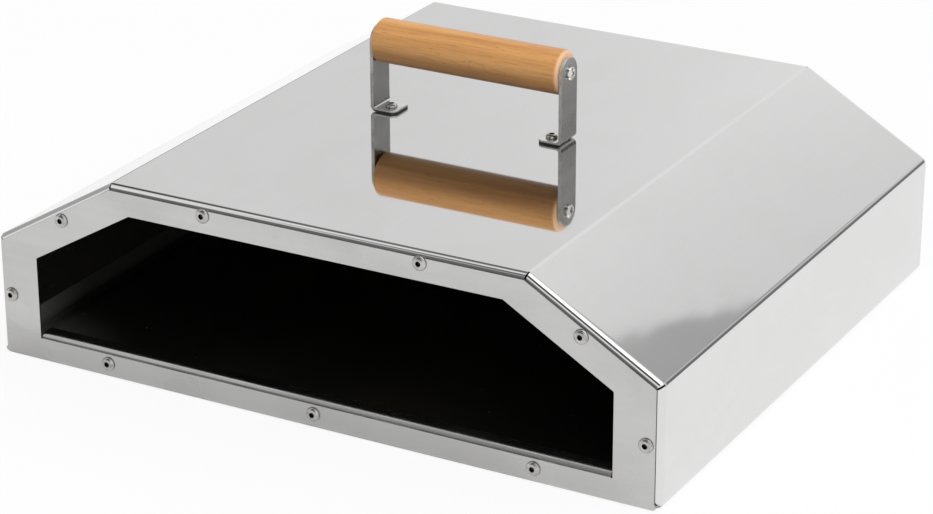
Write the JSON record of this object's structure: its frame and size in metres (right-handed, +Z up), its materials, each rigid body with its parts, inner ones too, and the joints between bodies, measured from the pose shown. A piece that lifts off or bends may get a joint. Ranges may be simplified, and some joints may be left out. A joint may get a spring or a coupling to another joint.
{
  "type": "barbecue pizza oven",
  "caption": "Low folded stainless steel oven box with sloped shoulders, a wide open mouth with a riveted frame, a floor pan and a round wooden carrying handle.",
  "frame": {"origin": "middle of the footprint, on the surface that the oven stands on", "axes": "+X across the mouth to the right as seen from the front, +Y from the mouth to the rear, +Z up"},
  "size_m": [0.4, 0.3556, 0.1655],
  "materials": {
    "bright_steel": "bright rolled stainless sheet, nearly a mirror, with a faint lengthwise grain",
    "oven_floor_steel": "stainless sheet darkened by heat",
    "satin_steel": "satin stainless sheet with fine grain",
    "strap_steel": "satin stainless strap with rounded ends",
    "rivet_steel": "bright domed blind rivet",
    "screw_steel": "bright pan head screw with a cross slot",
    "beech": "turned beech, oiled, grain along the grip"
  },
  "bodies": {
    "root": {"body_shell": "bright_steel", "floor_pan": "oven_floor_steel", "front_frame": "satin_steel", "rear_panel": "satin_steel", "left_bracket": "strap_steel", "right_bracket": "strap_steel", "grip": "beech", "left_grip_screw": "screw_steel", "right_grip_screw": "screw_steel", "left_bracket_rivet": "rivet_steel", "right_bracket_rivet": "rivet_steel", "front_rivet_roof_left": "rivet_steel", "front_rivet_roof_right": "rivet_steel", "front_rivet_slope_left": "rivet_steel", "front_rivet_slope_right": "rivet_steel", "front_rivet_wall_left": "rivet_steel", "front_rivet_wall_right": "rivet_steel", "front_rivet_sill_left": "rivet_steel", "front_rivet_sill_right": "rivet_steel", "front_rivet_sill_middle": "rivet_steel", "rear_rivet_roof_left": "rivet_steel", "rear_rivet_roof_right": "rivet_steel", "rear_rivet_slope_left": "rivet_steel", "rear_rivet_slope_right": "rivet_steel", "rear_rivet_wall_left": "rivet_steel", "rear_rivet_wall_right": "rivet_steel", "rear_rivet_sill_left": "rivet_steel", "rear_rivet_sill_right": "rivet_steel", "rear_rivet_sill_middle": "rivet_steel"}
  },
  "joints": []
}
